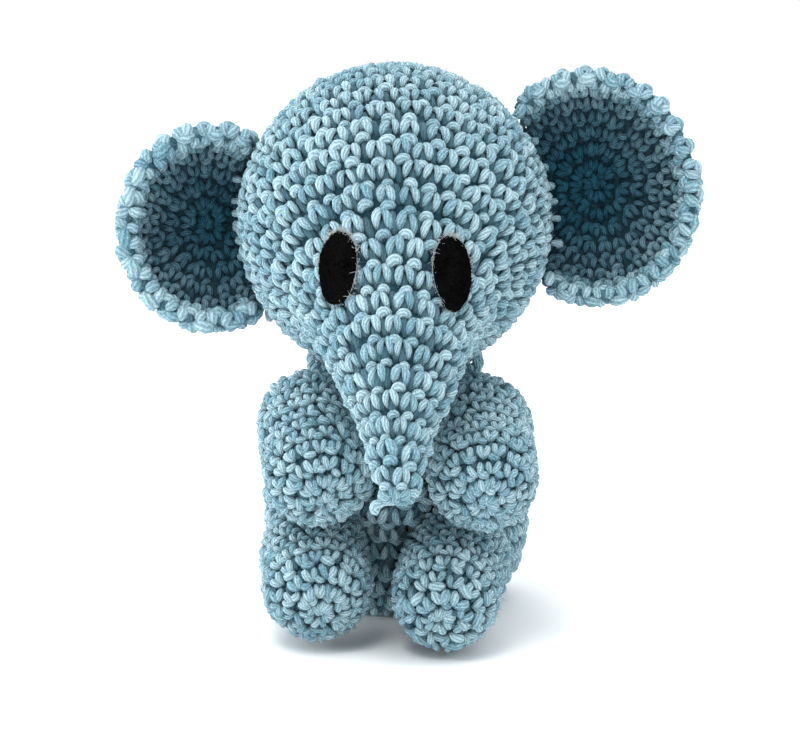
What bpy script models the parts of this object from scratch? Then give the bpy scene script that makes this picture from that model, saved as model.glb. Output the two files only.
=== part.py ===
"""A crocheted elephant, sitting: crocheted covers, their stuffing, and the yarn that sews them together.

Everything is in metres, +Z up. The face looks along -Y and the toy's left side is at +X. The origin is
the middle of the body's flat base. Head and trunk are one cover, worked round by round from the back of
the head to the tip of the trunk. Each arm and leg turns about the middle of its round base, which sits
in a dimple of the body, and the head turns and nods about its own middle.
"""

import math

import bmesh
import bpy
from mathutils import Matrix, Vector

# Fabric and clearances
FABRIC = 0.0025          # thickness of the single crochet
LIMB_FABRIC = 0.0023
GAP = 0.0003             # between two pieces that touch
SLIDE = 0.0006           # between two pieces that move on each other
MERGE = 0.00001
YARN_SIDES = 6              # flats round a ring of yarn, and steps along it
YARN_STEPS = 20

# Head and trunk
HEAD_CENTRE = Vector((-0.0005, -0.0120, 0.1008))
HEAD_RADIUS = 0.041
BACK_DIP = math.radians(-20)       # how far the axis of the rounds dips at the back of the head
ROOT_DIP = math.radians(-30)       # and where the trunk starts
TIP_DIP = math.radians(-54)        # and at its tip
ROOT_POLAR = math.radians(139)     # from the back of the head, round the ball, to the trunk's root
TRUNK_BEND = Vector((0.0000, -0.0630, 0.0665))
TRUNK_TIP = Vector((0.0003, -0.0796, 0.0446))
TRUNK_TIP_RADIUS = 0.0052
TRUNK_TAPER = 1.36
TRUNK_LENGTH = 0.058
HEAD_ROUNDS = 11
TRUNK_ROUNDS = 6
HEAD_SIDES = 28
CLOSING_RADIUS = 0.005             # hole in the back of the head, through which it is stuffed
KNOT_RADIUS = 0.0019
KNOT_ANGLE = math.radians(55)       # round the trunk's tip, from its right side to its underside

# Body
BODY_RADIUS = 0.0354
BODY_DEPTH = 0.86                  # front to back, against side to side
WIDEST_Z = 0.027
BASE_REACH = 0.034                 # how far below its widest the round lower half would close
BASE_ROUNDNESS = 2.6
NECK_RADIUS = 0.0192
BODY_TOP = 0.0637
LEAN_FROM = 0.040                  # above this height the body leans towards the head
NECK_TILT = math.radians(12)       # the neck's axis, which runs up and forward through the head's middle
NECK_DROP = 0.0369                 # from the head's middle to the body's top edge, along that axis
NECK_YARN = 0.0011
NECK_YARN_DROP = 0.0368
NECK_YARN_RING = 0.0218
BODY_ROUNDS = 11
BODY_SIDES = 28

# Limbs: middle of the round base, middle of the round tip, radius
LIMBS = {
    "left_arm": (Vector((0.0203, -0.0292, 0.0506)), Vector((0.0208, -0.0495, 0.0429)), 0.0139),
    "right_arm": (Vector((-0.0213, -0.0292, 0.0512)), Vector((-0.0190, -0.0478, 0.0436)), 0.0139),
    "left_leg": (Vector((0.0148, -0.0335, 0.0182)), Vector((0.0120, -0.0535, 0.0142)), 0.0138),
    "right_leg": (Vector((-0.0206, -0.0330, 0.0187)), Vector((-0.0194, -0.0465, 0.0150)), 0.0142),
}
SEAM_OF = {"arm": "shoulder_seam", "leg": "hip_seam"}
LIMB_TRIM = 0.0034                 # what the open end of a limb lacks of its full round base
LIMB_YARN = 0.0008
LIMB_YARN_RING = 0.0060
LIMB_SIDES = 18
LIMB_ARC = 4                       # steps in each quarter circle of a limb's outline

# Ears: middle of the rim, half width, half height, depth of the cup, roll of its long axis towards +X
EARS = {
    "left": (Vector((0.0495, -0.0120, 0.1094)), 0.0270, 0.0300, 0.0200, math.radians(-12)),
    "right": (Vector((-0.0470, -0.0120, 0.0990)), 0.0237, 0.0263, 0.0190, math.radians(0)),
}
EAR_TURN_IN = math.radians(8)      # the cups face forward and a little inward
EAR_TILT_UP = math.radians(4)
EAR_FABRIC = 0.0044
EAR_YARN = 0.0022
EAR_SEAM_INNER = 0.0005            # height of the seam's two faces over the head
EAR_SEAM_OUTER = 0.0029
EAR_EDGE = 0.0033                  # height of the ear's cut edge over the head
EAR_SEGMENTS = 28
EAR_RINGS = 12

# Eyes: place on the trunk's root, and the size of the felt oval
# (how far along the trunk, from 0 at its root to 1 at its tip, and the angle round it)
EYES = {"left": (0.160, math.radians(50.6)), "right": (0.142, math.radians(129.4))}
EYE_HALF_WIDTH = 0.0055
EYE_HALF_HEIGHT = 0.0082
EYE_FELT = 0.0012
EYE_LIFT = 0.0004
GLUE_BAND = 0.0010
GLUE_THICKNESS = 0.0007
EYE_REACH = 0.006                  # half the length of the cutters that shape an eye
EYE_SIDES = 20

YARN_BLUE = (0.27, 0.46, 0.57)
PALE_BLUE = (0.36, 0.55, 0.65)
STUFFING_WHITE = (0.86, 0.86, 0.84)
FELT_BLACK = (0.012, 0.012, 0.013)
GLUE_WHITE = (0.62, 0.64, 0.62)


# Helpers

def start_collections():
    """An empty scene with one collection for the toy and one for the solids that only shape it."""
    for thing in list(bpy.data.objects):
        bpy.data.objects.remove(thing, do_unlink=True)
    groups = []
    for name in ("crochet_elephant", "cutters"):
        group = bpy.data.collections.new(name)
        bpy.context.scene.collection.children.link(group)
        groups.append(group)
    return groups


def add_object(name, mesh, group):
    thing = bpy.data.objects.new(name, mesh)
    group.objects.link(thing)
    if group is CUTTERS:
        thing.hide_render = True
        thing.display_type = "WIRE"
    return thing


def finish(thing, colour, roughness):
    """Gives a piece its own material and smooth shading."""
    material = bpy.data.materials.new(thing.name)
    material.use_nodes = True
    shader = material.node_tree.nodes["Principled BSDF"]
    shader.inputs["Base Color"].default_value = (*colour, 1.0)
    shader.inputs["Roughness"].default_value = roughness
    shader.inputs["Metallic"].default_value = 0.0
    thing.data.materials.append(material)
    thing.data.shade_smooth()
    return thing


def bmesh_object(name, builder, group):
    bm = bmesh.new()
    builder(bm)
    mesh = bpy.data.meshes.new(name)
    bm.to_mesh(mesh)
    bm.free()
    return add_object(name, mesh, group)


def combine(thing, other, operation):
    """Cuts thing by other, joins it to other or keeps what they share."""
    step = thing.modifiers.new(f"{operation.lower()}_{other.name}", "BOOLEAN")
    step.operation = operation
    step.solver = "EXACT"
    step.object = other
    return thing


def ball(name, centre, radius, group, segments=32, rings=16):
    def build(bm):
        bmesh.ops.create_uvsphere(bm, u_segments=segments, v_segments=rings, radius=radius)

    thing = bmesh_object(name, build, group)
    thing.location = centre
    return thing


def drum(name, centre, axis, radius, half_length, group, sides=EYE_SIDES, squash=1.0, up=None):
    """A cylinder about axis. With up, it is oval: squash times as wide across up as along it."""
    def build(bm):
        bmesh.ops.create_cone(
            bm, cap_ends=True, segments=sides, radius1=radius, radius2=radius, depth=2 * half_length)
        bmesh.ops.scale(bm, vec=Vector((squash, 1.0, 1.0)), verts=bm.verts)

    thing = bmesh_object(name, build, group)
    thing.matrix_world = placed(centre, axis, up)
    return thing


def placed(centre, axis, up=None):
    """The placement whose local Z runs along axis and whose local Y leans towards up."""
    z_axis = axis.normalized()
    lean = up if up is not None else (Vector((0, 0, 1)) if abs(z_axis.z) < 0.9 else Vector((0, 1, 0)))
    x_axis = lean.cross(z_axis).normalized()
    y_axis = z_axis.cross(x_axis)
    turn = Matrix((x_axis, y_axis, z_axis)).transposed().to_4x4()
    return Matrix.Translation(centre) @ turn


def loft(name, rings, ends, sides, group):
    """A closed solid through rings of (centre, half axis, other half axis), with a point at each end."""
    def build(bm):
        rows = []
        for centre, across, along in rings:
            angles = [2 * math.pi * i / sides for i in range(sides)]
            rows.append([bm.verts.new(centre + across * math.cos(a) + along * math.sin(a)) for a in angles])
        for lower, upper in zip(rows, rows[1:]):
            for i in range(sides):
                j = (i + 1) % sides
                bm.faces.new((lower[i], lower[j], upper[j], upper[i]))
        for row, end in ((rows[0], ends[0]), (rows[-1], ends[1])):
            point = bm.verts.new(end)
            for i in range(sides):
                bm.faces.new((row[i], row[(i + 1) % sides], point))
        bmesh.ops.recalc_face_normals(bm, faces=bm.faces)

    return bmesh_object(name, build, group)


def torus(name, centre, axis, ring_radius, yarn_radius, group):
    """A ring of yarn: a round section turned about the axis."""
    steps = YARN_SIDES
    angles = [2 * math.pi * i / steps for i in range(steps)]
    points = [(ring_radius + yarn_radius * math.cos(a), 0.0, -yarn_radius * math.sin(a)) for a in angles]
    mesh = bpy.data.meshes.new(name)
    mesh.from_pydata(points, [(i, (i + 1) % steps) for i in range(steps)], [])
    thing = add_object(name, mesh, group)
    thing.matrix_world = placed(centre, axis)
    turn(thing, YARN_STEPS)
    return thing


def turn(thing, steps):
    """Turns an outline in the XZ plane about the object's own Z axis."""
    screw = thing.modifiers.new("turn", "SCREW")
    screw.axis = "Z"
    screw.steps = steps
    screw.render_steps = steps
    screw.use_merge_vertices = True
    screw.merge_threshold = MERGE
    weld = thing.modifiers.new("weld", "WELD")
    weld.merge_threshold = MERGE


# Head and trunk

def dip_axis(dip):
    """The direction that faces forward and down by the angle dip."""
    return Vector((0.0, -math.cos(dip), math.sin(dip)))


def trunk_root():
    reach = -HEAD_RADIUS * math.cos(ROOT_POLAR)
    return HEAD_CENTRE + dip_axis(ROOT_DIP) * reach


def trunk_point(t):
    """Middle of the trunk at t, from 0 at its root to 1 at its tip."""
    root = trunk_root()
    return root * (1 - t) ** 2 + TRUNK_BEND * 2 * t * (1 - t) + TRUNK_TIP * t * t


def trunk_radius(t):
    root_radius = HEAD_RADIUS * math.sin(ROOT_POLAR)
    return TRUNK_TIP_RADIUS + (root_radius - TRUNK_TIP_RADIUS) * (1 - t) ** TRUNK_TAPER


def trunk_dip(t):
    return ROOT_DIP + (TIP_DIP - ROOT_DIP) * t ** 0.8


def ring_frame(centre, dip, radius):
    forward = dip_axis(dip)
    side = Vector((1.0, 0.0, 0.0))
    return centre, side * radius, side.cross(forward) * radius


def head_solid(name, inset, group):
    """The head and trunk, with their surface moved inward by inset."""
    rings = []
    radius = HEAD_RADIUS - inset
    for i in range(1, HEAD_ROUNDS + 1):
        polar = ROOT_POLAR * i / HEAD_ROUNDS
        dip = BACK_DIP + (ROOT_DIP - BACK_DIP) * i / HEAD_ROUNDS
        centre = HEAD_CENTRE - dip_axis(dip) * radius * math.cos(polar)
        rings.append(ring_frame(centre, dip, radius * math.sin(polar)))
    last = 1.0 - max(inset, 0.0) / TRUNK_LENGTH
    for i in range(1, TRUNK_ROUNDS + 1):
        t = last * i / TRUNK_ROUNDS
        rings.append(ring_frame(trunk_point(t), trunk_dip(t), trunk_radius(t) - inset))
    tip_axis = dip_axis(TIP_DIP)
    end_radius = trunk_radius(last) - inset
    end = trunk_point(last)
    rings.append(ring_frame(end + tip_axis * 0.3 * end_radius, TIP_DIP, 0.65 * end_radius))
    back = HEAD_CENTRE - dip_axis(BACK_DIP) * radius
    return loft(name, rings, (back, end + tip_axis * 0.4 * end_radius), HEAD_SIDES, group)


def make_head():
    back_axis = -dip_axis(BACK_DIP)
    back = HEAD_CENTRE + back_axis * HEAD_RADIUS
    hole = drum("closing_hole", back, back_axis, CLOSING_RADIUS, 2 * FABRIC, CUTTERS, sides=16)

    cover = head_solid("head_cover", 0.0, TOY)
    combine(cover, head_solid("head_hollow", FABRIC, CUTTERS), "DIFFERENCE")
    combine(cover, hole, "DIFFERENCE")
    finish(cover, YARN_BLUE, 0.9)

    finish(head_solid("head_stuffing", FABRIC + GAP, TOY), STUFFING_WHITE, 1.0)

    plug_radius = CLOSING_RADIUS - 1.5 * GAP
    closing = drum("head_closing_yarn", back - back_axis * 0.3 * FABRIC, back_axis, plug_radius,
                   0.55 * FABRIC, TOY, sides=16)
    finish(closing, PALE_BLUE, 0.9)

    tip_axis = dip_axis(TIP_DIP)
    underside = Vector((1.0, 0.0, 0.0)).cross(tip_axis)
    beside = Vector((-math.cos(KNOT_ANGLE), 0.0, 0.0)) + underside * math.sin(KNOT_ANGLE)
    place = TRUNK_TIP + beside * (TRUNK_TIP_RADIUS + GAP + KNOT_RADIUS)
    knot = ball("trunk_fastening_off", place, KNOT_RADIUS, TOY, 12, 8)
    finish(knot, YARN_BLUE, 0.9)


def make_eyes():
    over_lift = head_solid("eye_floor", -EYE_LIFT, CUTTERS)
    felt_top = head_solid("felt_top", -EYE_LIFT - EYE_FELT, CUTTERS)
    glue_top = head_solid("glue_top", -EYE_LIFT - GLUE_THICKNESS, CUTTERS)
    for side, (along_trunk, angle) in EYES.items():
        centre, across, along = ring_frame(
            trunk_point(along_trunk), trunk_dip(along_trunk), trunk_radius(along_trunk))
        place = centre + across * math.cos(angle) - along * math.sin(angle)
        facing = (place - HEAD_CENTRE).normalized()
        upright = Vector((0.0, 0.0, 1.0))
        narrow = EYE_HALF_WIDTH / EYE_HALF_HEIGHT

        felt = drum(f"{side}_eye", place, facing, EYE_HALF_HEIGHT, EYE_REACH, TOY,
                    squash=narrow, up=upright)
        combine(felt, felt_top, "INTERSECT")
        combine(felt, over_lift, "DIFFERENCE")
        finish(felt, FELT_BLACK, 0.95)

        inner = EYE_HALF_HEIGHT + GAP
        outer = inner + GLUE_BAND
        hole = drum(f"{side}_glue_hole", place, facing, inner, 1.5 * EYE_REACH, CUTTERS,
                    squash=(EYE_HALF_WIDTH + GAP) / inner, up=upright)
        glue = drum(f"{side}_eye_glue", place, facing, outer, EYE_REACH, TOY,
                    squash=(EYE_HALF_WIDTH + GAP + GLUE_BAND) / outer, up=upright)
        combine(glue, glue_top, "INTERSECT")
        combine(glue, over_lift, "DIFFERENCE")
        combine(glue, hole, "DIFFERENCE")
        finish(glue, GLUE_WHITE, 0.7)


def make_ears():
    seam_floor = ball("seam_floor", HEAD_CENTRE, HEAD_RADIUS + EAR_SEAM_INNER, CUTTERS, 40, 20)
    seam_top = ball("seam_top", HEAD_CENTRE, HEAD_RADIUS + EAR_SEAM_OUTER, CUTTERS, 40, 20)
    edge = ball("ear_edge", HEAD_CENTRE, HEAD_RADIUS + EAR_EDGE, CUTTERS, 40, 20)
    for side, (centre, half_width, half_height, depth, roll) in EARS.items():
        inward = -math.copysign(1.0, centre.x)
        facing = Vector((inward * math.sin(EAR_TURN_IN), -math.cos(EAR_TURN_IN), math.sin(EAR_TILT_UP)))
        upright = Vector((math.sin(roll), 0.0, math.cos(roll)))
        seat = placed(centre, facing, upright)

        inset = 0.5 * (EAR_FABRIC - EAR_YARN)
        ear = cup(f"{side}_ear", seat, (half_width, half_height, depth), EAR_FABRIC, TOY)
        combine(ear, edge, "DIFFERENCE")
        finish(ear, YARN_BLUE, 0.9)

        middle = (half_width - inset, half_height - inset, depth - inset)
        seam = cup(f"{side}_ear_seam", seat, middle, EAR_YARN, TOY)
        combine(seam, seam_top, "INTERSECT")
        combine(seam, seam_floor, "DIFFERENCE")
        finish(seam, PALE_BLUE, 0.9)


def cup(name, seat, half_axes, thickness, group):
    """A bowl of half an ellipsoid, open along local +Z, with its wall inside that surface."""
    def build(bm):
        bmesh.ops.create_uvsphere(bm, u_segments=EAR_SEGMENTS, v_segments=EAR_RINGS, radius=1.0)
        above = [v for v in bm.verts if v.co.z > 0.001]
        bmesh.ops.delete(bm, geom=above, context="VERTS")
        bmesh.ops.scale(bm, vec=Vector(half_axes), verts=bm.verts)

    thing = bmesh_object(name, build, group)
    thing.matrix_world = seat
    wall = thing.modifiers.new("wall", "SOLIDIFY")
    wall.thickness = thickness
    wall.offset = -1.0
    wall.use_even_offset = True
    return thing


# Body

def body_width(z):
    """Half the body's width at height z."""
    if z < WIDEST_Z:
        below = ((WIDEST_Z - z) / BASE_REACH) ** BASE_ROUNDNESS
        return BODY_RADIUS * (1 - below) ** (1 / BASE_ROUNDNESS)
    rise = (z - WIDEST_Z) / (BODY_TOP - WIDEST_Z)
    return NECK_RADIUS + (BODY_RADIUS - NECK_RADIUS) * math.cos(math.pi / 2 * rise)


def neck_axis():
    return Vector((0.0, -math.sin(NECK_TILT), math.cos(NECK_TILT)))


def body_solid(name, inset, top, group):
    """The body with its surface moved inward by inset, from its base to the height top."""
    rings = []
    neck = HEAD_CENTRE - neck_axis() * NECK_DROP
    for i in range(BODY_ROUNDS + 1):
        z = inset + (top - inset) * (0.5 - 0.5 * math.cos(math.pi * i / BODY_ROUNDS)) ** 0.9
        lean = min(max((z - LEAN_FROM) / (BODY_TOP - LEAN_FROM), 0.0), 1.0) ** 1.6
        middle = Vector((neck.x * lean, neck.y * lean, z))
        tilt = NECK_TILT * lean
        across = Vector((1.0, 0.0, 0.0))
        along = Vector((0.0, math.cos(tilt), math.sin(tilt)))
        width = body_width(min(z, BODY_TOP))
        depth = width * (BODY_DEPTH + (1 - BODY_DEPTH) * lean)
        rings.append((middle, across * (width - inset), along * (depth - inset)))
    return loft(name, rings, (rings[0][0], rings[-1][0]), BODY_SIDES, group)


def make_body():
    head_seat = ball("head_seat", HEAD_CENTRE, HEAD_RADIUS + SLIDE, CUTTERS, 40, 20)
    hollow = body_solid("body_hollow", FABRIC, BODY_TOP + 2 * FABRIC, CUTTERS)
    cover = body_solid("body_cover", 0.0, BODY_TOP, TOY)
    stuffing = body_solid("body_stuffing", FABRIC + GAP, BODY_TOP, TOY)
    combine(stuffing, head_seat, "DIFFERENCE")
    for name, (pivot, _tip, radius) in LIMBS.items():
        socket = radius + SLIDE
        combine(hollow, ball(f"{name}_backing", pivot, socket + FABRIC, CUTTERS, 20, 10), "DIFFERENCE")
        combine(stuffing, ball(f"{name}_dent", pivot, socket + FABRIC + GAP, CUTTERS, 20, 10), "DIFFERENCE")
        combine(cover, ball(f"{name}_socket", pivot, socket, CUTTERS, 20, 10), "DIFFERENCE")
    combine(cover, hollow, "DIFFERENCE")
    combine(cover, head_seat, "DIFFERENCE")
    finish(cover, YARN_BLUE, 0.9)
    finish(stuffing, STUFFING_WHITE, 1.0)

    ring_centre = HEAD_CENTRE - neck_axis() * NECK_YARN_DROP
    seam = torus("neck_seam", ring_centre, neck_axis(), NECK_YARN_RING, NECK_YARN, TOY)
    finish(seam, PALE_BLUE, 0.9)


# Arms and legs

def limb_solid(name, pivot, tip, radius, inset, group):
    """A round-ended roll from pivot to tip, with its surface moved inward by inset."""
    length = (tip - pivot).length
    reach = radius - inset
    quarter = [math.pi / 2 * i / LIMB_ARC for i in range(LIMB_ARC + 1)]
    outline = [(reach * math.sin(a), 0.0, length + reach * math.cos(a)) for a in quarter]
    outline += [(reach * math.cos(a), 0.0, -reach * math.sin(a)) for a in quarter]
    outline[0] = (0.0, 0.0, length + reach)
    outline[-1] = (0.0, 0.0, -reach)
    mesh = bpy.data.meshes.new(name)
    mesh.from_pydata(outline, [(i, i + 1) for i in range(len(outline) - 1)], [])
    thing = add_object(name, mesh, group)
    thing.matrix_world = placed(pivot, tip - pivot)
    turn(thing, LIMB_SIDES)
    return thing


def make_limb(name, pivot, tip, radius):
    towards_body = Vector((-pivot.x, -pivot.y, 0.0)).normalized()
    trim = radius - LIMB_TRIM
    reach = 0.5 * radius
    trimmer = drum(f"{name}_trimmer", pivot + towards_body * (trim + reach), towards_body,
                   2 * radius, reach, CUTTERS, sides=16)
    stuffing_trimmer = drum(f"{name}_stuffing_trimmer", pivot + towards_body * (trim + reach - GAP),
                            towards_body, 2 * radius, reach, CUTTERS, sides=16)

    cover = limb_solid(f"{name}_cover", pivot, tip, radius, 0.0, TOY)
    combine(cover, limb_solid(f"{name}_hollow", pivot, tip, radius, LIMB_FABRIC, CUTTERS), "DIFFERENCE")
    combine(cover, trimmer, "DIFFERENCE")
    finish(cover, YARN_BLUE, 0.9)

    stuffing = limb_solid(f"{name}_stuffing", pivot, tip, radius, LIMB_FABRIC + GAP, TOY)
    combine(stuffing, stuffing_trimmer, "DIFFERENCE")
    finish(stuffing, STUFFING_WHITE, 1.0)

    side, kind = name.split("_")
    ring_centre = pivot + towards_body * (trim + GAP + LIMB_YARN)
    seam = torus(f"{side}_{SEAM_OF[kind]}", ring_centre, towards_body, LIMB_YARN_RING, LIMB_YARN, TOY)
    finish(seam, PALE_BLUE, 0.9)


TOY, CUTTERS = start_collections()
make_head()
make_eyes()
make_ears()
make_body()
for limb_name, (limb_pivot, limb_tip, limb_radius) in LIMBS.items():
    make_limb(limb_name, limb_pivot, limb_tip, limb_radius)
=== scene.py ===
"""The looks of a crocheted elephant: every cover is worked in rounds of single crochet over its stuffing.

Each stuffed part has a lining, which is the back of its fabric pressed outwards by the stuffing in a short
cloth simulation. The stitches stand on it in one long spiral, as they are worked by hand. Each has two legs
and a front loop, with its post and the yarn of the round below seen dimly behind them. The ears are bowls of
the same fabric.
"""
from math import cos, pi, radians, sin, tau

import bpy
import numpy as np
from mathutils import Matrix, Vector
from mathutils.bvhtree import BVHTree


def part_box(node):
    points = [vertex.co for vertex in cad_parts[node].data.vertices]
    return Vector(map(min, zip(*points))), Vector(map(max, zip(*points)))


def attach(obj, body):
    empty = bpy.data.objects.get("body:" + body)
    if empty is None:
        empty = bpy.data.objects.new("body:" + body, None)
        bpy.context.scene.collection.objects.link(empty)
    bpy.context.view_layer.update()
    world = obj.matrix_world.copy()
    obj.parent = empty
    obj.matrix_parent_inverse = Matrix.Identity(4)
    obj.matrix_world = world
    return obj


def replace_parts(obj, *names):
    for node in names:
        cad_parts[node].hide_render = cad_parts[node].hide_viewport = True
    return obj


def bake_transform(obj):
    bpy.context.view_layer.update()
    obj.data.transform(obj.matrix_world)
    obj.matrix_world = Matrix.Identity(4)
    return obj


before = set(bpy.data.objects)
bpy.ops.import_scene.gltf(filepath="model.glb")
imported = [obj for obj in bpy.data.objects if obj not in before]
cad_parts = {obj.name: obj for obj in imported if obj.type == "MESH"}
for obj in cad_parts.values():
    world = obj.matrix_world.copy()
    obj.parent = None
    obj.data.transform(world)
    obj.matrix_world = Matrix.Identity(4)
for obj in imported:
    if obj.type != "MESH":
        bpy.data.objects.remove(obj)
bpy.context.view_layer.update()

MM = 0.001

# ---- the shapes of the CAD model, in metres
HEAD_CENTRE = np.array((-0.0005, -0.0120, 0.1008))
HEAD_RADIUS = 0.0410
BACK_DIP, ROOT_DIP, TIP_DIP = radians(-20), radians(-30), radians(-54)
ROOT_POLAR = radians(139)                 # the trunk leaves the head at this angle from the back pole
TRUNK_BEND = np.array((0.0, -0.0630, 0.0665))
TRUNK_TIP = np.array((0.0003, -0.0796, 0.0446))
TRUNK_TIP_RADIUS, TRUNK_TAPER = 0.0052, 1.36

BODY_RADIUS, BODY_DEPTH, WIDEST_Z = 0.0354, 0.86, 0.0270
BASE_REACH, BASE_ROUNDNESS = 0.0340, 2.6
NECK_RADIUS, BODY_TOP, LEAN_FROM = 0.0192, 0.0637, 0.0400
NECK_TILT, NECK_DROP = radians(12), 0.0369

LIMBS = {  # pivot, middle of the round end, radius
    "left_arm": ((0.0203, -0.0292, 0.0506), (0.0208, -0.0495, 0.0429), 0.0139),
    "right_arm": ((-0.0213, -0.0292, 0.0512), (-0.0190, -0.0478, 0.0436), 0.0139),
    "left_leg": ((0.0148, -0.0335, 0.0182), (0.0120, -0.0535, 0.0142), 0.0138),
    "right_leg": ((-0.0206, -0.0330, 0.0187), (-0.0194, -0.0465, 0.0150), 0.0142),
}
EARS = {  # middle of the rim, half width, half height, depth, roll
    "left_ear": ((0.0495, -0.0120, 0.1094), 0.0270, 0.0300, 0.0200, radians(-12)),
    "right_ear": ((-0.0470, -0.0120, 0.0990), 0.0237, 0.0263, 0.0190, 0.0),
}
EAR_TURN_IN, EAR_TILT_UP, EAR_FABRIC = radians(8), radians(4), 0.0044
RIM_FROM = radians(66)                    # how far up the inside of the cup its chunky rim starts
EYES = ("left_eye", "right_eye")
EYE_HALF_WIDTH, EYE_HALF_HEIGHT = 0.0055, 0.0082
EYE_BED = 12 * MM                         # how deep behind an eye's middle its own patch of the head can lie
BELLY_SWELL, BELLY_HALF_WIDTH, BELLY_HEIGHT = 0.0130, 0.0095, 0.0315   # the belly swells out between the limbs
SEAT_ROOM = 0.4 * MM                      # between a limb's round base and its dimple in the body
SEAT_DEPTH, SEAT_EDGE = 7 * MM, 0.9 * MM  # a dimple deeper than this has no stitches, nor has its edge

# ---- the crochet
HEAD_STITCH = (6.3 * MM, 5.7 * MM)        # width of a stitch and height of a round
BODY_STITCH = (5.8 * MM, 5.2 * MM)
LIMB_STITCH = (5.1 * MM, 4.7 * MM)
EAR_STITCH = (5.0 * MM, 5.0 * MM)
CUP_STITCH = (4.3 * MM, 4.3 * MM)
RIM_STITCH, RIM_PLUMP = (6.6 * MM, 6.0 * MM), 1.22
YARN = 0.142                              # radius of the yarn, as a share of a stitch's width
STITCH_BASE = -1.40 * MM                  # depth of the stitches' roots under the CAD surface
LINING_DEPTH = -2.0 * MM
FILL_DEPTH = 3.4 * MM                     # the stuffing's surface under the CAD surface
SIDES = 8                                 # of a yarn's outline
FLOOR = 0.1 * MM                          # the yarn is pressed flat where the toy rests
YARN_FROM, YARN_UP_TO = 4.8 * MM, 6.9 * MM    # stitch widths beyond which the yarn gets no thinner or thicker
LOOPS_MISSING = 0.03                      # share of the front loops that are pulled in and not seen
STRAYS_A_STITCH = 2                       # loose fibres
STRAY_RADIUS, STRAY_SIDES = 0.045 * MM, 3
STRAY_TAPER = np.array((1.0, 0.9, 0.7, 0.3))
SEWING_RADIUS, CLOSING_RADIUS, COLLAR_RADIUS = 0.85 * MM, 0.82 * MM, 0.90 * MM
CLOSING_STITCHES, COLLAR_STITCHES = 12, 30
NAP_FIBRES, CLUMPED_FIBRES, SPREAD_FIBRES, NAP_RADIUS = 500, 380, 160, 0.05 * MM

# Middle lines of a stitch's yarns: stitch widths to the side, rounds onward, yarn radii outward, thickness.
LEG = np.array([
    (0.05, -0.04, -0.80, 0.55),
    (0.09, 0.02, 0.05, 0.88),
    (0.14, 0.09, 0.66, 1.08),
    (0.19, 0.18, 1.00, 1.20),
    (0.23, 0.29, 1.10, 1.28),
    (0.255, 0.40, 1.00, 1.24),
    (0.27, 0.50, 0.66, 1.06),
    (0.275, 0.59, 0.12, 0.80),
    (0.265, 0.67, -0.75, 0.45),
])
LOOP = np.array([                         # the front loop, which bridges two legs of a stitch
    (-0.235, 1.05, -0.80, 0.75),
    (-0.215, 0.99, 0.00, 1.05),
    (-0.16, 0.93, 0.48, 1.25),
    (-0.085, 0.895, 0.78, 1.36),
    (0.00, 0.885, 0.88, 1.40),
    (0.085, 0.895, 0.78, 1.36),
    (0.16, 0.93, 0.48, 1.25),
    (0.215, 0.99, 0.00, 1.05),
    (0.235, 1.05, -0.80, 0.75),
])
POST = np.array([                         # the stitch's post, seen dimly between it and its neighbour
    (0.42, 0.02, -0.60, 1.00),
    (0.45, 0.12, -0.42, 1.20),
    (0.48, 0.22, -0.36, 1.30),
    (0.50, 0.32, -0.38, 1.32),
    (0.52, 0.42, -0.44, 1.30),
    (0.54, 0.52, -0.52, 1.25),
    (0.56, 0.61, -0.64, 1.15),
    (0.58, 0.69, -0.80, 1.00),
    (0.60, 0.76, -1.10, 0.80),
])
HEART = np.array([                        # yarn of the round below, seen between the two legs of a stitch
    (-0.05, 0.22, -0.95, 0.80),
    (-0.035, 0.33, -0.70, 1.10),
    (-0.02, 0.43, -0.56, 1.25),
    (-0.01, 0.53, -0.50, 1.32),
    (0.00, 0.63, -0.48, 1.34),
    (0.01, 0.73, -0.52, 1.32),
    (0.02, 0.83, -0.62, 1.25),
    (0.035, 0.93, -0.76, 1.10),
    (0.05, 1.02, -0.95, 0.80),
])
# Each yarn of a stitch: its line, side, slant, share left out, and how many mm deeper it counts for the
# painted shade of the hollows.
STITCH_YARNS = ((LEG, -1, 0, 0, 0), (LEG, 1, 0, 0, 0), (LOOP, 1, 0.2, LOOPS_MISSING, 0), (POST, 1, 0, 0, 1.5),
                (HEART, 1, 0, 0, 1.7))


def unit(vectors):
    length = np.linalg.norm(vectors, axis=-1, keepdims=True)
    return vectors / np.maximum(length, 1e-12)


# ---- rings: each row is a centre and two half-axes, which trace an ellipse
def dip_axis(dip):
    return np.array((0.0, -cos(dip), sin(dip)))


def tilted_ring(centre, dip, radius):
    side = np.array((1.0, 0.0, 0.0))
    return centre, side * radius, np.cross(side, dip_axis(dip)) * radius


def head_rings():
    rings = []
    for polar in np.linspace(0, ROOT_POLAR, 60):
        dip = BACK_DIP + (ROOT_DIP - BACK_DIP) * polar / ROOT_POLAR
        centre = HEAD_CENTRE - dip_axis(dip) * HEAD_RADIUS * cos(polar)
        rings.append(tilted_ring(centre, dip, HEAD_RADIUS * sin(polar)))
    return rings


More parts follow.
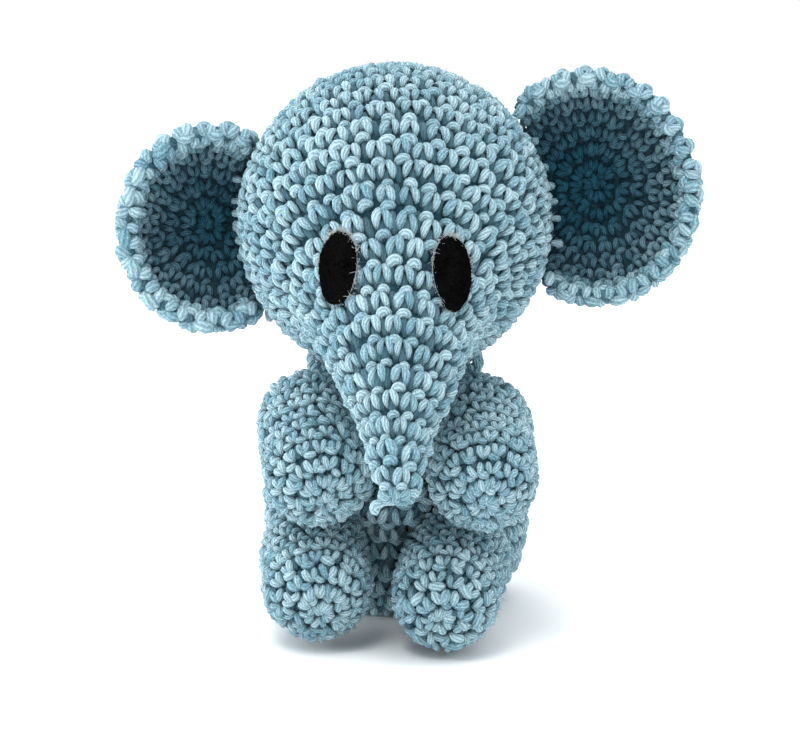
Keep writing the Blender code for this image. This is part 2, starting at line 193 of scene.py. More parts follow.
def trunk_rings():
    root = HEAD_CENTRE - dip_axis(ROOT_DIP) * HEAD_RADIUS * cos(ROOT_POLAR)
    rings = []
    for t in np.linspace(0, 1, 40)[1:]:
        centre = root * (1 - t) ** 2 + TRUNK_BEND * 2 * t * (1 - t) + TRUNK_TIP * t * t
        root_radius = HEAD_RADIUS * sin(ROOT_POLAR)
        radius = TRUNK_TIP_RADIUS + (root_radius - TRUNK_TIP_RADIUS) * (1 - t) ** TRUNK_TAPER
        rings.append(tilted_ring(centre, ROOT_DIP + (TIP_DIP - ROOT_DIP) * t ** 0.8, radius))
    for step in np.linspace(0, 1, 8)[1:]:
        centre = TRUNK_TIP + dip_axis(TIP_DIP) * TRUNK_TIP_RADIUS * 0.4 * sin(step * pi / 2)
        rings.append(tilted_ring(centre, TIP_DIP, TRUNK_TIP_RADIUS * cos(step * pi / 2)))
    return rings


def body_rings():
    neck = HEAD_CENTRE - np.array((0.0, -sin(NECK_TILT), cos(NECK_TILT))) * NECK_DROP
    rings = []
    low = [WIDEST_Z * (1 - cos(s)) for s in np.linspace(0, pi / 2, 24)]
    high = list(np.linspace(WIDEST_Z, BODY_TOP, 24)[1:])
    floor_width = BODY_RADIUS * (1 - (WIDEST_Z / BASE_REACH) ** BASE_ROUNDNESS) ** (1 / BASE_ROUNDNESS)
    for share in np.linspace(0, 1, 10)[:-1]:
        rings.append((np.array((0.0, 0.0, 0.0)), np.array((1.0, 0, 0)) * floor_width * share,
                      np.array((0, 1.0, 0)) * floor_width * share * BODY_DEPTH))
    for z in low + high:
        if z < WIDEST_Z:
            width = BODY_RADIUS * (1 - ((WIDEST_Z - z) / BASE_REACH) ** BASE_ROUNDNESS) ** (1 / BASE_ROUNDNESS)
        else:
            rise = cos(pi / 2 * (z - WIDEST_Z) / (BODY_TOP - WIDEST_Z))
            width = NECK_RADIUS + (BODY_RADIUS - NECK_RADIUS) * rise
        lean = min(max((z - LEAN_FROM) / (BODY_TOP - LEAN_FROM), 0), 1) ** 1.6
        tilt = NECK_TILT * lean
        depth = width * (BODY_DEPTH + (1 - BODY_DEPTH) * lean)
        rings.append((np.array((neck[0] * lean, neck[1] * lean, z)), np.array((width, 0, 0)),
                      np.array((0, cos(tilt), sin(tilt))) * depth))
    return rings


def limb_rings(pivot, tip, radius):
    """From the round end back to the flat end at the body."""
    pivot, tip = np.array(pivot), np.array(tip)
    axis = unit(tip - pivot)
    side = unit(np.cross(axis, (0.0, 0.0, 1.0)))
    up = np.cross(side, axis)
    rings = []
    for polar in np.linspace(0, pi / 2, 24):
        around = radius * sin(polar)
        rings.append((tip + axis * radius * cos(polar), side * around, up * around))
    for share in np.linspace(0, 1, 16)[1:]:
        rings.append((tip + (pivot - tip) * share, side * radius, up * radius))
    for polar in np.linspace(pi / 2, pi * 0.96, 18)[1:]:
        around = radius * sin(polar)
        rings.append((pivot + axis * radius * cos(polar), side * around, up * around))
    return rings


def ear_frame(name):
    """Rim centre, and the ear's width, height and opening directions."""
    centre, half_width, half_height, depth, roll = EARS[name]
    inward = -np.sign(centre[0])
    opening = unit(np.array((inward * sin(EAR_TURN_IN), -cos(EAR_TURN_IN), sin(EAR_TILT_UP))))
    across = unit(np.cross((sin(roll), 0.0, cos(roll)), opening))
    return np.array(centre), across, np.cross(opening, across), opening


def ear_rings(name, face, inset=0.0):
    """face "cup" runs up the inside, "rim" over the edge, "back" up the outside; "shell" is all of them."""
    centre, across, upright, opening = ear_frame(name)
    _, half_width, half_height, depth, _ = EARS[name]
    wall = EAR_FABRIC
    rings = []

    def ring(width_cut, rise, share):
        rings.append((centre + opening * rise, across * (half_width - width_cut) * share,
                      upright * (half_height - width_cut) * share))

    inner = np.linspace(0, RIM_FROM if face == "cup" else pi / 2, 40)
    if face == "rim":
        inner = np.linspace(RIM_FROM, pi / 2, 14)
    if face != "back":
        for q in inner:
            ring(wall - inset, -(depth - wall + inset) * cos(q), sin(q))
    if face in ("rim", "shell"):
        for p in np.linspace(0, pi, 18)[1:]:
            ring(wall / 2 + (wall / 2 - inset) * cos(p), (wall / 2 - inset) * sin(p) * 0.9, 1.0)
    outer = np.linspace(0, radians(83), 40)
    if face == "rim":
        outer = np.linspace(pi / 2, radians(83), 4)
    if face == "shell":
        outer = np.linspace(pi / 2, 0, 40)
    if face != "cup":
        for q in outer:
            ring(inset, -(depth - inset) * cos(q), sin(q))
    return rings


class Fabric:
    """A face of crocheted fabric as a grid of points: rings along its growth, columns round it."""

    def __init__(self, rings, facing=1, step=1.3 * MM, columns=64):
        data = np.array(rings)
        turns = np.arange(columns) / columns * tau
        trace = lambda d: (d[:, None, 0] + d[:, None, 1] * np.cos(turns)[None, :, None]
                           + d[:, None, 2] * np.sin(turns)[None, :, None])
        grid = trace(data)
        climb = np.linalg.norm(np.diff(grid, axis=0), axis=2).mean(axis=1)
        arc = np.concatenate(([0], np.cumsum(climb)))
        self.length = arc[-1]
        count = int(round(self.length / step)) + 1
        even = np.linspace(0, self.length, count)
        flat = data.reshape(len(data), 9)
        data = np.stack([np.interp(even, arc, flat[:, i]) for i in range(9)], axis=1).reshape(count, 3, 3)
        self.step = self.length / (count - 1)
        self.facing = facing
        self.set_grid(trace(data))

    def set_grid(self, grid):
        self.grid = grid
        around = np.roll(grid, -1, axis=1) - np.roll(grid, 1, axis=1)
        onward = np.gradient(grid, axis=0)
        normal = np.cross(onward, around)
        middle = grid.mean(axis=(0, 1))
        if (normal * (grid - middle)).sum() < 0:
            normal = -normal
        normal = unit(normal) * self.facing
        for end, inner in ((0, 1), (-1, -2)):
            if np.linalg.norm(around[end]).max() < 1e-5:
                normal[end] = unit(normal[inner].mean(axis=0))
        self.normal = normal
        edge = np.roll(grid, -1, axis=1) - grid
        self.girth = np.linalg.norm(edge, axis=2).sum(axis=1)

    def aim_from(self, ear):
        """Turns the outward directions of a rim away from the middle of its wall."""
        centre, _, _, opening = ear
        top = len(self.grid) // 2
        if (self.normal[top] @ opening).mean() < 0:
            self.normal = -self.normal

    def at(self, turn, arc):
        """Points and outward directions at these turns round and lengths along the growth."""
        rows, columns = self.grid.shape[:2]
        row = np.clip(arc / self.step, 0, rows - 1.0001)
        column = (turn % 1.0) * columns
        r, c = row.astype(int), column.astype(int) % columns
        fr, fc = (row - r)[..., None], (column - np.floor(column))[..., None]
        r1, c1 = np.minimum(r + 1, rows - 1), (c + 1) % columns

        def mix(field):
            low = field[r, c] * (1 - fc) + field[r, c1] * fc
            high = field[r1, c] * (1 - fc) + field[r1, c1] * fc
            return low * (1 - fr) + high * fr

        beyond = (arc - np.clip(arc, 0, self.length))[..., None]
        last = unit(self.grid[-1] - self.grid[-3])
        return mix(self.grid) + beyond * last[c], unit(mix(self.normal))


# ---- meshes
def new_object(name, mesh):
    made = bpy.data.objects.new(name, mesh)
    bpy.context.scene.collection.objects.link(made)
    return made


def mesh_from(name, points, faces, fields=None):
    """faces is a list of equal-length face arrays. fields are point attributes, one number or three each."""
    mesh = bpy.data.meshes.new(name)
    points = np.asarray(points, np.float32).reshape(-1, 3)
    loops = np.concatenate([f.ravel() for f in faces]).astype(np.int32)
    sizes = np.concatenate([np.full(len(f), f.shape[1]) for f in faces])
    starts = np.concatenate(([0], np.cumsum(sizes)[:-1])).astype(np.int32)
    mesh.vertices.add(len(points))
    mesh.vertices.foreach_set("co", points.ravel())
    mesh.loops.add(len(loops))
    mesh.loops.foreach_set("vertex_index", loops)
    mesh.polygons.add(len(sizes))
    mesh.polygons.foreach_set("loop_start", starts)
    mesh.polygons.foreach_set("use_smooth", np.ones(len(sizes), bool))
    for field, values in (fields or {}).items():
        values = np.asarray(values, np.float32)
        kind, key = ("FLOAT_VECTOR", "vector") if values.ndim > 1 else ("FLOAT", "value")
        mesh.attributes.new(field, kind, "POINT").data.foreach_set(key, values.ravel())
    mesh.update(calc_edges=True)
    mesh.validate()
    return mesh


def grid_mesh(name, grid, keep=None):
    """A closed-round sheet over a grid of points. A ring with no size becomes one point."""
    rows, columns = grid.shape[:2]
    index = np.arange(rows * columns).reshape(rows, columns)
    for end in (0, -1):
        if np.ptp(grid[end], axis=0).max() < 1e-5:
            index[end] = index[end, 0]
    after = np.roll(index, -1, axis=1)
    quads = np.stack([index[:-1], after[:-1], after[1:], index[1:]], axis=2).reshape(-1, 4)
    if keep is not None:
        quads = quads[keep.reshape(-1)[quads].all(axis=1)]
    used, flat = np.unique(quads, return_inverse=True)
    quads = flat.reshape(-1, 4)
    same = quads[:, 0] == quads[:, 1], quads[:, 2] == quads[:, 3]
    faces = [quads[~(same[0] | same[1])], quads[same[0]][:, [0, 2, 3]], quads[same[1]][:, [0, 1, 2]]]
    return mesh_from(name, grid.reshape(-1, 3)[used], [f for f in faces if len(f)]), used


def tubes(lines, radii, outward, tone, rng, sides=SIDES):
    """Closed tubes of yarn. lines are (tubes, rings, 3), with a thickness and a way out for each ring."""
    count, rings = lines.shape[:2]
    bumpy = 1 + rng.normal(0, 0.045, (count, rings, sides))
    along = unit(np.gradient(lines, axis=1))
    side = unit(np.cross(along, outward))
    up = np.cross(side, along)
    angle = np.arange(sides) / sides * tau
    ring = (np.cos(angle)[:, None] * side[:, :, None] + np.sin(angle)[:, None] * up[:, :, None])
    points = lines[:, :, None] + (radii[:, :, None] * bumpy)[..., None] * ring
    points[..., 2] = np.maximum(points[..., 2], FLOOR)
    gaps = np.linalg.norm(np.diff(lines, axis=1), axis=2)
    length = np.concatenate([np.zeros((count, 1)), np.cumsum(gaps, axis=1)], axis=1)
    strand = np.empty((count, rings, sides, 3))
    strand[..., 0], strand[..., 1] = np.cos(angle), np.sin(angle)
    strand[..., 2] = length[:, :, None] / MM + tone[:, None, None] * 40
    shape = (count, rings, sides)
    r, s = np.arange(rings - 1)[:, None], np.arange(sides)[None]
    n = (s + 1) % sides
    corners = [r * sides + s, (r + 1) * sides + s, (r + 1) * sides + n, r * sides + n]
    quad = np.stack(corners, axis=2).reshape(-1, 4)
    start, end = np.arange(sides)[None], ((rings - 1) * sides + np.arange(sides))[::-1][None]
    offset = (np.arange(count) * rings * sides)[:, None, None]
    spread = lambda f: (f[None] + offset).reshape(-1, f.shape[1])
    return {"points": points.reshape(-1, 3), "quads": spread(quad),
            "ends": np.concatenate([spread(start), spread(end)]),
            "strand": strand.reshape(-1, 3),
            "tone": np.broadcast_to(tone[:, None, None], shape).reshape(-1)}


def join_tubes(name, parts, depth=0.0, shade=0.0):
    """One mesh of several sets of tubes. depth is each point's height over the fabric's surface in mm, which
    sets the painted shade of the hollows, and shade how much painted shade it gets in an ear's cup, from 0 to
    1."""
    shift, quads, ends = 0, [], []
    for p in parts:
        quads.append(p["quads"] + shift)
        ends.append(p["ends"] + shift)
        shift += len(p["points"])
    points = np.concatenate([p["points"] for p in parts])
    fields = {"strand": np.concatenate([p["strand"] for p in parts]),
              "tone": np.concatenate([p["tone"] for p in parts]),
              "depth": np.broadcast_to(depth, len(points)), "shade": np.broadcast_to(shade, len(points))}
    return mesh_from(name, points, quads + ends, fields)


def stitch_places(fabric, stitch, first_arc=0.0, last_arc=None):
    """Turn, arc, stitch width in turns, round height and stitch width of every stitch, as one spiral."""
    width, height = stitch
    last_arc = fabric.length if last_arc is None else last_arc
    rounds = max(1, int(round((last_arc - first_arc) / height)))
    height = (last_arc - first_arc) / rounds
    places, turn = [], 0.0
    while turn < rounds:
        middle = first_arc + (int(turn) + 0.6) * height
        girth = fabric.girth[min(int(middle / fabric.step), len(fabric.girth) - 1)]
        count = max(6, 6 * round(girth / width / 6 + 0.15)) + 0.5
        places.append((turn, first_arc + (turn - 0.35) * height, 1 / count, height, girth / count))
        turn += 1 / count
    return np.array(places)


def lay_stitches(name, fabric, places, seed, keep=None, shade=None, plump=1.0):
    """Crochet stitches on a fabric. keep(points) says which yarns are there, shade(points) how much painted
    shade they get.
    """
    everywhere, unshaded = (lambda points: np.ones(len(points), bool)), (lambda points: np.zeros(len(points)))
    keep, shade = keep or everywhere, shade or unshaded
    rng = np.random.default_rng(seed)
    turn, arc, share, height, width = places.T
    count = len(places)
    lean, aside, onward = rng.normal(0, 1, (3, count, 1)) * np.array((0.09, 0.045, 0.05))[:, None, None]
    parts, depths, shades = [], [], []
    size = YARN * plump * np.clip(width, YARN_FROM, YARN_UP_TO)
    wobble = lambda size: rng.normal(0, size, (count, 1))
    around = np.sin(np.arange(SIDES) / SIDES * tau)
    for table, mirror, slant, missing, painted_shade_sink in STITCH_YARNS:
        a, b, c, thick = table.T
        a = mirror * a * (1 + wobble(0.08)) + wobble(0.022) + aside + lean * (b - 0.5)
        b = b * (1 + wobble(0.04)) + wobble(0.025) + onward - a * (slant + wobble(0.12))
        c = c * (1 + wobble(0.10)) + wobble(0.15)
        radii = thick * size[:, None] * (1 + wobble(0.09))
        surface, outward = fabric.at(turn[:, None] + a * share[:, None], arc[:, None] + b * height[:, None])
        there = (rng.random(count) > missing) & keep(surface[:, len(thick) // 2])
        rise = STITCH_BASE + c * size[:, None]
        lines = (surface + outward * rise[..., None])[there]
        parts.append(tubes(lines, radii[there], outward[there], rng.random(there.sum()), rng))
        # painted shade of the hollows: the post and the heart count as lying deeper than they are
        depths.append((rise[:, :, None] + radii[:, :, None] * around)[there].reshape(-1) / MM - painted_shade_sink)
        shades.append(np.repeat(shade(surface[there, len(thick) // 2]), len(thick) * SIDES))
    strays, roots = stray_fibres(fabric, places, keep, rng)
    parts.append(strays)
    depths.append(np.full(len(strays["points"]), 0.5))
    shades.append(np.repeat(shade(roots), len(STRAY_TAPER) * STRAY_SIDES))
    return new_object(name, join_tubes(name, parts, np.concatenate(depths), np.concatenate(shades)))


def stray_fibres(fabric, places, keep, rng):
    """Short thin fibres, bent away from the yarn they stand on, and where on the fabric they stand."""
    turn, arc, share, height, _ = places.T
    strays = len(places) * STRAYS_A_STITCH
    pick = rng.integers(0, len(places), strays)
    turns = turn[pick] + rng.uniform(-0.5, 0.5, strays) * share[pick]
    arcs = arc[pick] + rng.uniform(0, 1, strays) * height[pick]
    surface, outward = fabric.at(turns, arcs)
    there = keep(surface)
    surface, outward = surface[there], outward[there]
    strays = len(surface)
    reach = unit(outward * rng.uniform(0.3, 1.2, (strays, 1)) + unit(rng.normal(size=(strays, 3))))
    bend = unit(rng.normal(size=(strays, 3)))
    size = rng.uniform(0.5, 1.5, (strays, 1)) * MM
    t = np.linspace(0, 1, 4)[None, :, None]
    roots = (surface + outward * 0.1 * MM)[:, None]
    lines = roots + (reach * size)[:, None] * t + (bend * size)[:, None] * 0.5 * t * t
    radii = np.broadcast_to(STRAY_TAPER * STRAY_RADIUS, lines.shape[:2])
    up = np.broadcast_to(unit(np.cross(reach, bend))[:, None], lines.shape)
    return tubes(lines, radii, up, rng.random(strays), rng, STRAY_SIDES), surface


# ---- stuffing pressure
SIM_SCALE, SIM_FRAMES, SLACK_SIZE = 10, 20, 0.975


def press_out(fabric, seed, pinned, most=1.5 * MM):
    """Swells a fabric's grid from a slightly smaller, uneven shape with cloth pressure, at SIM_SCALE times its
    real size. pinned(arcs) says where it is held, and most is as far as the fabric can move."""
    rng = np.random.default_rng(seed)
    rest = fabric.grid
    middle = rest.mean(axis=1, keepdims=True)
    waves = np.zeros(rest.shape[:2])
    for _ in range(10):
        direction = unit(rng.normal(size=3))
        waves += np.sin((rest @ direction) / (rng.uniform(5, 14) * MM) + rng.uniform(0, tau))
    start = middle + (rest - middle) * SLACK_SIZE + fabric.normal * waves[..., None] * 0.07 * MM
    mesh, used = grid_mesh("pressed", start * SIM_SCALE)
    cover = new_object("pressed", mesh)
    group = cover.vertex_groups.new(name="pinned")
    arcs = np.repeat(np.arange(rest.shape[0]) * fabric.step, rest.shape[1])[used]
    group.add([int(i) for i in np.flatnonzero(pinned(arcs))], 1.0, "REPLACE")
    cloth = cover.modifiers.new("Cloth", "CLOTH")
    s = cloth.settings
    s.quality, s.mass, s.air_damping = 5, 0.3, 2
    s.tension_stiffness, s.compression_stiffness, s.shear_stiffness, s.bending_stiffness = 15, 15, 5, 0.5
    s.use_pressure, s.uniform_pressure_force = True, 4.0
    s.effector_weights.gravity = 0
    s.vertex_group_mass = "pinned"
    scene = bpy.context.scene
    for number in range(1, SIM_FRAMES + 1):
        scene.frame_set(number)
    moved = cover.evaluated_get(bpy.context.evaluated_depsgraph_get()).data
    place = np.empty(len(moved.vertices) * 3, np.float32)
    moved.vertices.foreach_get("co", place)
    swollen = rest.reshape(-1, 3).copy()
    swollen[used] = place.reshape(-1, 3) / SIM_SCALE
    swollen = swollen.reshape(rest.shape)
    for end in (0, -1):
        if np.ptp(rest[end], axis=0).max() < 1e-5:
            swollen[end] = swollen[end, 0]
    bpy.data.objects.remove(cover)
    scene.frame_set(1)
    shift = swollen - rest
    for _ in range(6):
        shift = (shift + np.roll(shift, 1, 1) + np.roll(shift, -1, 1)) / 3
        shift[1:-1] = (shift[:-2] + shift[1:-1] + shift[2:]) / 3
    reach = np.linalg.norm(shift, axis=2, keepdims=True)
    shift *= np.minimum(1, most / np.maximum(reach, 1e-9))
    fabric.set_grid(rest + shift)


# ---- materials
class Nodes:
    """Short hand for a material's node tree."""

    def __init__(self, name):
        self.material = bpy.data.materials.new(name)
        self.material.use_nodes = True
        self.tree = self.material.node_tree
        self.shader = self.tree.nodes["Principled BSDF"]

    def add(self, kind, inputs=(), **settings):
        node = self.tree.nodes.new("ShaderNode" + kind)
        for key, value in settings.items():
            setattr(node, key, value)
        for key, value in dict(inputs).items():
            self.feed(value, node.inputs[key])
        return node

    def feed(self, value, socket):
        if isinstance(value, bpy.types.NodeSocket):
            self.tree.links.new(value, socket)
        else:
            socket.default_value = value

    def maths(self, operation, *values):
        node = self.add("Math", operation=operation)
        for i, value in enumerate(values):
            self.feed(value, node.inputs[i])
        return node.outputs[0]

    def mix(self, share, a, b, blend="MIX"):
        node = self.add("Mix", data_type="RGBA", blend_type=blend)
        for key, value in ((0, share), (6, a), (7, b)):
            self.feed(value, node.inputs[key])
        return node.outputs[2]

    def attribute(self, name):
        return self.add("Attribute", attribute_name=name)

    def noise(self, scale, detail):
        node = self.add("TexNoise", {"Scale": scale, "Detail": detail})
        self.feed(self.add("TexCoord").outputs["Object"], node.inputs["Vector"])
        return node.outputs["Fac"]

    def ramp(self, value, *stops):
        node = self.add("ValToRGB")
        self.feed(value, node.inputs[0])
        elements = node.color_ramp.elements
        while len(elements) < len(stops):
            elements.new(0.5)
        for element, (place, colour) in zip(elements, stops):
            element.position, element.color = place, colour
        return node.outputs["Color"]


def grey(value):
    return (value, value, value, 1.0)


# LIGHT and MID are the yarn's own colours; the third is painted shade, for the grooves between plies and the
# hollows between stitches
LIGHT, MID, PAINTED_SHADE_BLUE = (0.52, 0.73, 0.81, 1), (0.135, 0.33, 0.42, 1), (0.016, 0.078, 0.112, 1)
CUP_SHADE_COLOUR = (0.045, 0.17, 0.23, 1)         # painted shade: multiplies the yarn's colour deep in an ear


def yarn_material(name, sheen):
    """Cotton yarn: fine strands twisted along each length of yarn, with painted shade in the grooves between
    its plies and in the hollows between stitches.
    """
    n = Nodes(name)
    strand = n.add("SeparateXYZ", {0: n.attribute("strand").outputs["Vector"]})
    angle = n.maths("ARCTAN2", strand.outputs["Y"], strand.outputs["X"])
    tone = n.attribute("tone").outputs["Fac"]
    depth = n.attribute("depth").outputs["Fac"]
    shade = n.attribute("shade").outputs["Fac"]
    fibre, tuft = n.noise(2600, 3), n.noise(900, 3)
    swirl = n.maths("MULTIPLY", n.maths("SUBTRACT", tuft, 0.5), 7.0)
    run = n.maths("MULTIPLY", strand.outputs["Z"], 2.3)
    plies = n.maths("SINE", n.maths("ADD", n.maths("MULTIPLY_ADD", angle, 7.0, run), swirl))
    groove = n.maths("MULTIPLY_ADD", plies, 0.5, 0.5)
    patches = n.noise(90, 2)
    mottle = n.maths("ADD", n.maths("MULTIPLY", patches, 0.25), n.maths("MULTIPLY", fibre, 0.75))
    body = n.ramp(n.maths("MULTIPLY_ADD", tone, 0.25, mottle), (0.40, MID), (0.74, LIGHT))
    # painted shade in the grooves between the plies
    grooved = n.mix(n.maths("MULTIPLY", n.maths("SUBTRACT", 1.0, groove), 0.5), body, PAINTED_SHADE_BLUE)
    # painted shade in the hollows between stitches: the deeper a point lies, the darker
    sunk = n.add("MapRange", {"Value": depth, "From Min": -2.4, "From Max": 0.3, "To Min": 1.0, "To Max": 0.0},
                 interpolation_type="SMOOTHSTEP").outputs[0]
    colour = n.mix(n.maths("MULTIPLY", sunk, 0.85), grooved, PAINTED_SHADE_BLUE)
    # painted shade deep in the ears' cups
    shaded = n.mix(shade, colour, n.mix(1.0, colour, CUP_SHADE_COLOUR, "MULTIPLY"))
    n.feed(shaded, n.shader.inputs["Base Color"])
    n.shader.inputs["Roughness"].default_value = 0.9
    n.shader.inputs["Sheen Weight"].default_value = sheen
    n.shader.inputs["Sheen Roughness"].default_value = 0.5
    n.shader.inputs["Sheen Tint"].default_value = (0.85, 0.92, 0.95, 1)
    n.shader.inputs["Specular IOR Level"].default_value = 0.2
    height = n.maths("ADD", n.maths("MULTIPLY", groove, 0.55), n.maths("MULTIPLY", fibre, 1.0))
    bump = n.add("Bump", {"Strength": 0.8, "Distance": 0.0005, "Height": height})
    n.feed(bump.outputs[0], n.shader.inputs["Normal"])
    return n.material


def cloth_material(name, dark, light, scale, roughness=0.95, sheen=0.15, gloss=0.15):
    """A plain textile surface: felt, loose fill or the back of the fabric."""
    n = Nodes(name)
    fine, coarse = n.noise(scale, 4), n.noise(scale * 0.12, 3)
    share = n.maths("MULTIPLY_ADD", fine, 0.6, n.maths("MULTIPLY", coarse, 0.4))
    n.feed(n.ramp(share, (0.35, dark), (0.68, light)), n.shader.inputs["Base Color"])
    n.shader.inputs["Roughness"].default_value = roughness
    n.shader.inputs["Specular IOR Level"].default_value = gloss
    n.shader.inputs["Sheen Weight"].default_value = sheen
    bump = n.add("Bump", {"Strength": 0.6, "Distance": 0.0004, "Height": fine})
    n.feed(bump.outputs[0], n.shader.inputs["Normal"])
    return n.material


yarn = yarn_material("yarn_blue", sheen=0.12)
cup_yarn = yarn_material("yarn_blue_cup", sheen=0.0)
# The back of the fabric, coloured much darker than the yarn as painted shade where it shows between stitches.
lining_cloth_painted_shade = cloth_material("fabric_back_painted_shade", (0.008, 0.035, 0.055, 1), (0.035, 0.10, 0.14, 1), 900)
# The ears' lining, darker still as painted shade inside the cups.
cup_cloth_painted_shade = cloth_material("cup_back_painted_shade", (0.004, 0.020, 0.030, 1), (0.012, 0.045, 0.062, 1), 900)
fill_cloth = cloth_material("polyester_fill", grey(0.62), grey(0.85), 500)
felt = cloth_material("black_felt", grey(0.001), grey(0.005), 1500, 1.0, sheen=0.0, gloss=0.0)
pale_fibre = cloth_material("pale_fibre", (0.34, 0.42, 0.44, 1), (0.72, 0.75, 0.72, 1), 900)
glue_coat = cloth_material("dried_glue", (0.16, 0.20, 0.20, 1), (0.42, 0.46, 0.45, 1), 900, 0.5)


def dress(piece, material):
    piece.data.materials.clear()
    piece.data.materials.append(material)
    return piece


# ---- the covers
def lining(name, fabric, depth=LINING_DEPTH, keep=None):
    grid = fabric.grid + fabric.normal * depth
    mesh, _ = grid_mesh(name, grid, None if keep is None else keep(grid))
    return dress(new_object(name, mesh), lining_cloth_painted_shade)


def filling(name, fabric, seed):
    """Loose fibre that fills a cover: the cover's shape, drawn in and lumpy."""
    rng = np.random.default_rng(seed)
    waves = np.zeros(fabric.grid.shape[:2])
    for _ in range(14):
        direction = unit(rng.normal(size=3))
        waves += np.sin((fabric.grid @ direction) / (rng.uniform(2, 5) * MM) + rng.uniform(0, tau))
    wide = np.clip(fabric.girth / tau / (12 * MM), 0, 1)[:, None]
    grid = fabric.grid - fabric.normal * (FILL_DEPTH + 0.12 * MM * waves * wide)[..., None]
    mesh, _ = grid_mesh(name, grid[::2, ::2])
    piece = dress(new_object(name, mesh), fill_cloth)
    return piece


def stuffed_part(body, fabric, nodes, seed):
    """The lining and the stuffing of a part, in place of its two CAD nodes."""
    cover = lining(body + "_lining", fabric)
    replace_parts(cover, nodes[0])
    fill = filling(body + "_fill", fabric, seed)
    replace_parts(fill, nodes[1])
    return [cover, fill]


def strands(name, made, material):
    """A piece of loose yarn or fibres, made of tubes that lie on top of the fabric."""
    return dress(new_object(name, join_tubes(name, [made])), material)


def whip_stitches(name, starts, ends, outward, radius, rng):
    """Slanting stitches of the sewing yarn, each one arched from a start to an end."""
    t = np.linspace(0, 1, 9)[None, :, None]
    arch = np.sin(t * pi) * 1.9 * radius - 0.5 * radius
    lines = starts[:, None] * (1 - t) + ends[:, None] * t + outward[:, None] * arch
    count = len(starts)
    profile = np.array([0.6, 0.85, 1, 1.05, 1.08, 1.05, 1, 0.85, 0.6])
    thick = profile * radius * (1 + rng.normal(0, 0.06, (count, 1)))
    out = np.broadcast_to(outward[:, None], lines.shape)
    return strands(name, tubes(lines, thick, out, rng.random(count), rng), yarn)


def eye_frame(name):
    """An eye's middle, and the ways out of the head, across the eye and up it."""
    low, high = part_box(name)
    middle = np.array((low + high) / 2)
    facing = unit(middle - HEAD_CENTRE)
    across = unit(np.cross((0.0, 0.0, 1.0), facing))
    return middle, facing, across, np.cross(facing, across)


def inside_eye(points):
    """True where an eye covers the head."""
    covered = np.zeros(len(points), bool)
    for name in EYES:
        middle, facing, across, upright = eye_frame(name)
        away = points - middle
        reach = ((away @ across) / EYE_HALF_WIDTH) ** 2 + ((away @ upright) / EYE_HALF_HEIGHT) ** 2
        covered |= (reach < 1.0) & (away @ facing > -EYE_BED)
    return covered


def inside_limb_base(points, margin):
    """How far each point has to move, and which way, to lie behind the round base of the limb it is in."""
    move = np.zeros(points.shape)
    for pivot, tip, radius in LIMBS.values():
        pivot, tip = np.array(pivot), np.array(tip)
        inward = unit(pivot - tip)
        away = points - pivot
        along = away @ inward
        chord = (radius + margin) ** 2 - (away ** 2).sum(axis=-1) + along ** 2
        deep = (away ** 2).sum(axis=-1) < (radius + margin) ** 2
        move += np.where(deep, np.sqrt(np.maximum(chord, 0)) - along, 0)[..., None] * inward
    return move


# ---- head and trunk
head_fabric = Fabric(head_rings() + trunk_rings())
head_arc = Fabric(head_rings()).length
press_out(head_fabric, 11, lambda arc: arc > head_arc + 20 * MM)
pieces = stuffed_part("head", head_fabric, ("head_cover", "head_stuffing"), 21)
places = stitch_places(head_fabric, HEAD_STITCH, last_arc=head_fabric.length - 1.5 * MM)
face_from, trunk_from = head_arc * 0.45, head_arc - 2 * MM
for name, low, high in (("head_back_stitches", -1.0, face_from), ("head_face_stitches", face_from, trunk_from),
                        ("trunk_stitches", trunk_from, 1.0)):
    some = places[(places[:, 1] >= low) & (places[:, 1] < high)]
    piece = lay_stitches(name, head_fabric, some, len(some), keep=lambda points: ~inside_eye(points))
    pieces.append(dress(piece, yarn))
for piece in pieces:
    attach(piece, "head")

# ---- body
body_fabric = Fabric(body_rings())
x, y, z = np.moveaxis(body_fabric.grid, -1, 0)
off_belly = (x / BELLY_HALF_WIDTH) ** 2 + ((z - BELLY_HEIGHT) / BELLY_HALF_WIDTH) ** 2
belly = BELLY_SWELL * np.exp(-off_belly) * (y < 0)
body_fabric.set_grid(body_fabric.grid + body_fabric.normal * belly[..., None])
press_out(body_fabric, 12, lambda arc: (arc < 18 * MM) | (arc > body_fabric.length - 3 * MM), most=0.8 * MM)
seating = inside_limb_base(body_fabric.grid, SEAT_ROOM)
body_fabric.set_grid(body_fabric.grid + seating)
seats = body_fabric.grid[np.linalg.norm(seating, axis=2) > SEAT_DEPTH]


def off_seats(points):
    """True outside the dimples in which the limbs sit."""
    return np.abs(points[:, None] - seats).max(axis=2).min(axis=1) >= SEAT_EDGE


pieces = stuffed_part("body", body_fabric, ("body_cover", "body_stuffing"), 22)
places = stitch_places(body_fabric, BODY_STITCH)
pieces.append(dress(lay_stitches("body_stitches", body_fabric, places, 5, keep=off_seats), yarn))
for piece in pieces:
    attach(piece, "body")

# ---- arms and legs
for seed, (name, limb) in enumerate(LIMBS.items(), start=30):
    fabric = Fabric(limb_rings(*limb), step=1.0 * MM, columns=48)
    end = fabric.length
    press_out(fabric, seed, lambda arc: arc > end - 9 * MM, most=0.8 * MM)
    pieces = stuffed_part(name, fabric, (name + "_cover", name + "_stuffing"), seed + 10)
    piece = lay_stitches(name + "_stitches", fabric, stitch_places(fabric, LIMB_STITCH), seed)
    pieces.append(dress(piece, yarn))
    for piece in pieces:
        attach(piece, name)


